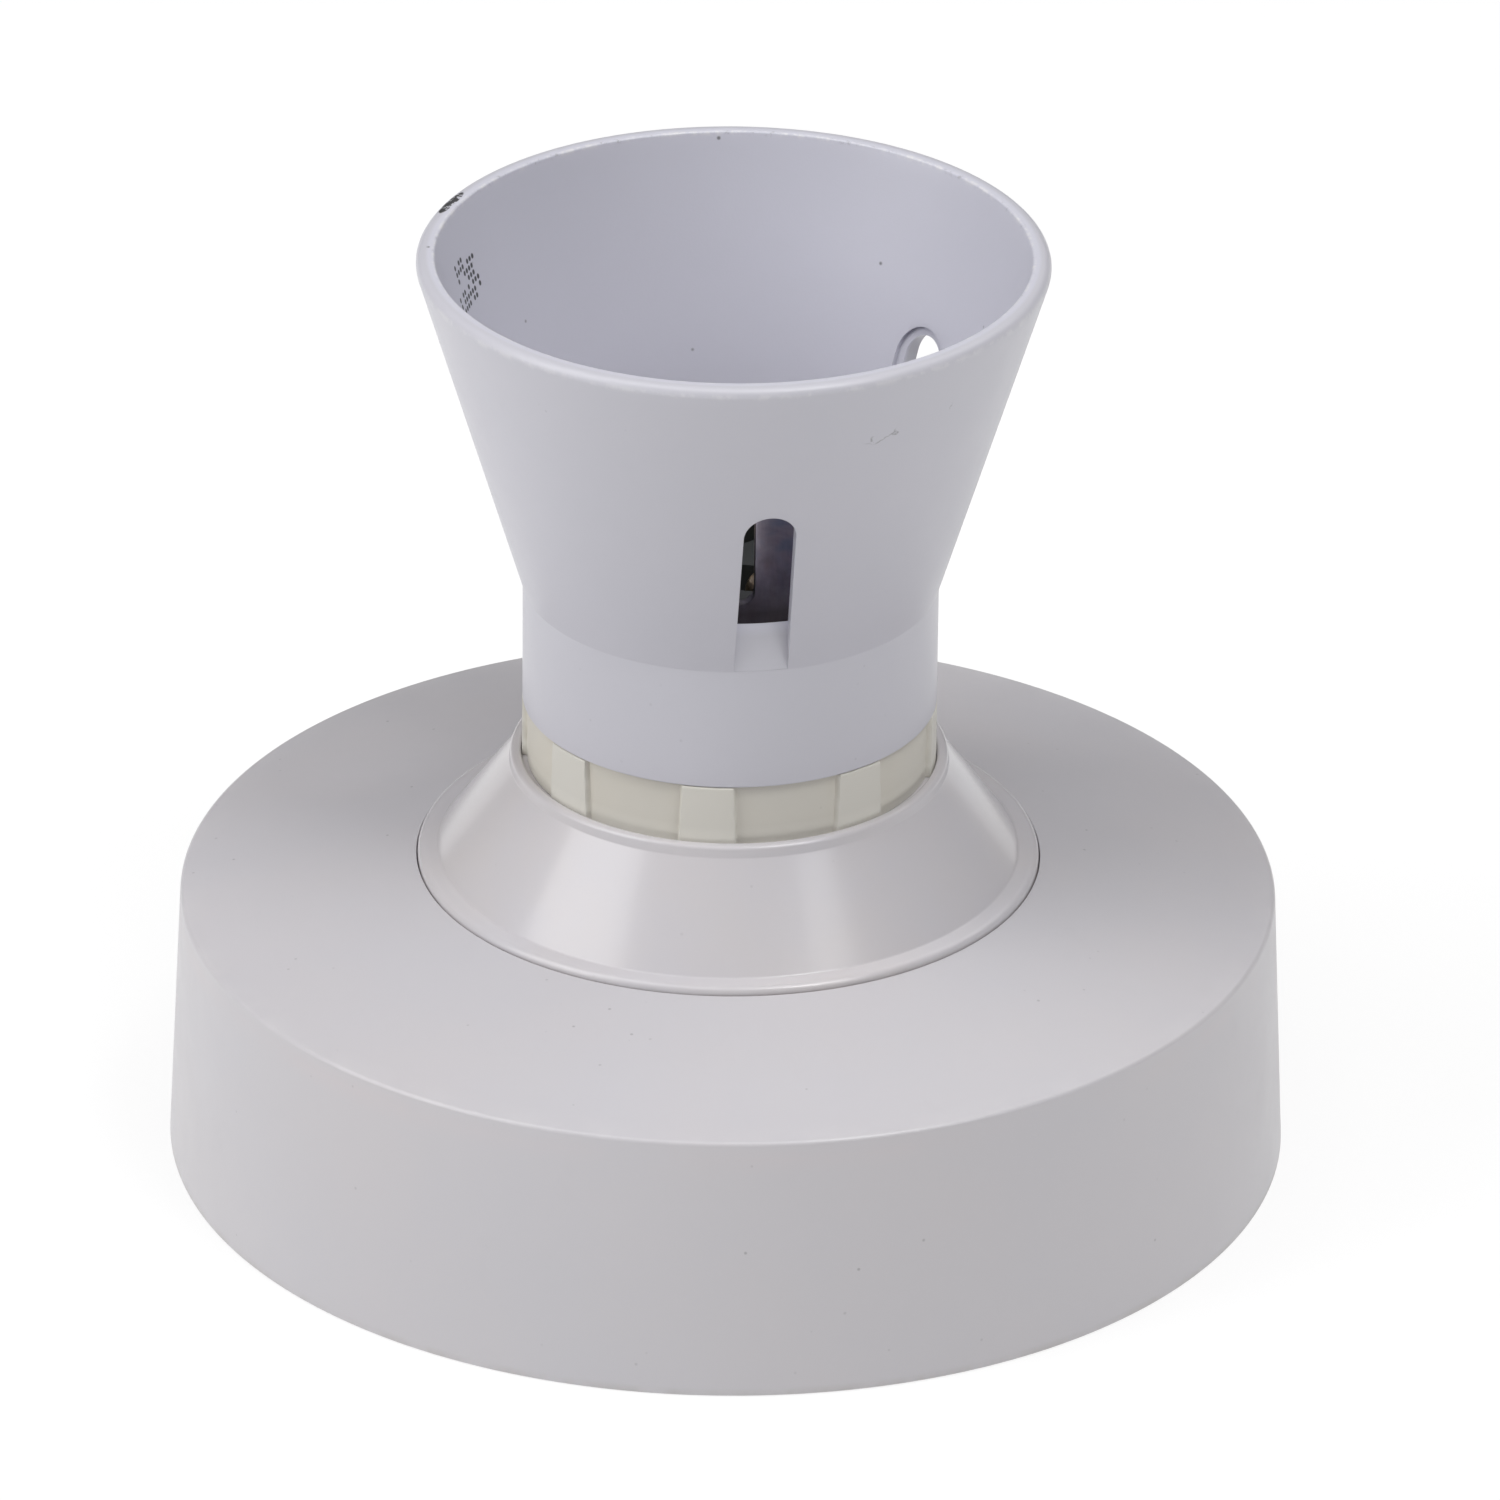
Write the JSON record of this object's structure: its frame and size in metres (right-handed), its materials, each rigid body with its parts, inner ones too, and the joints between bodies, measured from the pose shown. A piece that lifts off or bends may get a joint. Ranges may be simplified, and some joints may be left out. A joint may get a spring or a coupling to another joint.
{
  "type": "batten lampholder",
  "caption": "Bayonet batten lampholder with a round base cover, a conical collar, a ribbed lock ring and a long flared skirt with arched slots.",
  "frame": {"origin": "middle of the back face, on the mounting surface", "axes": "+Z out of the mounting surface towards the lamp, which is the shortest extent; -Y is the front, with one of the skirt's slots about 8 degrees to its right"},
  "size_m": [0.1, 0.1, 0.0859],
  "materials": {
    "cover_plastic": "satin",
    "collar_plastic": "gloss",
    "cream_plastic": "satin",
    "skirt_plastic": "satin",
    "plate_plastic": "satin",
    "block_insulator": "satin",
    "plated_steel": "satin",
    "screw_steel": "satin",
    "spring_steel": "satin",
    "brass": "satin",
    "brown_insulation": "satin",
    "blue_insulation": "satin"
  },
  "bodies": {
    "holder": {"mounting_plate": "plate_plastic", "holder_body": "cream_plastic", "bayonet_sleeve": "plated_steel", "contact_block": "block_insulator", "live_spring": "spring_steel", "neutral_spring": "spring_steel", "live_contact_terminal": "brass", "neutral_contact_terminal": "brass", "contact_screws": "screw_steel", "holder_screws": "screw_steel", "terminal_block": "plate_plastic", "neutral_terminal": "brass", "line_terminal": "brass", "loop_terminal": "brass", "earth_terminal": "brass", "terminal_screws": "screw_steel", "block_screws": "screw_steel", "live_lead": "brown_insulation", "neutral_lead": "blue_insulation"},
    "cover": {"base_cover": "cover_plastic"},
    "collar_piece": {"collar": "collar_plastic"},
    "ring": {"lock_ring": "cream_plastic"},
    "skirt_piece": {"skirt": "skirt_plastic"},
    "live_contact": {"live_plunger": "brass"},
    "neutral_contact": {"neutral_plunger": "brass"}
  },
  "joints": [
    {"name": "cover_lift", "type": "slide", "parent": "holder", "child": "cover", "axis": [0, 0, 1], "range_m": [0, 0.09]},
    {"name": "collar_lift", "type": "slide", "parent": "cover", "child": "collar_piece", "axis": [0, 0, 1], "range_m": [0, 0.045]},
    {"name": "lock_ring_unscrew", "type": "slide", "parent": "collar_piece", "child": "ring", "axis": [0, 0, 1], "range_m": [0, 0.032]},
    {"name": "skirt_unscrew", "type": "slide", "parent": "ring", "child": "skirt_piece", "axis": [0, 0, 1], "range_m": [0, 0.045]},
    {"name": "live_contact_press", "type": "slide", "parent": "holder", "child": "live_contact", "axis": [0, 0, -1], "range_m": [0, 0.003], "stiffness_N_per_m": 1000, "springref_m": -0.002, "deforming": ["live_spring"]},
    {"name": "neutral_contact_press", "type": "slide", "parent": "holder", "child": "neutral_contact", "axis": [0, 0, -1], "range_m": [0, 0.003], "stiffness_N_per_m": 1000, "springref_m": -0.002, "deforming": ["neutral_spring"]}
  ]
}
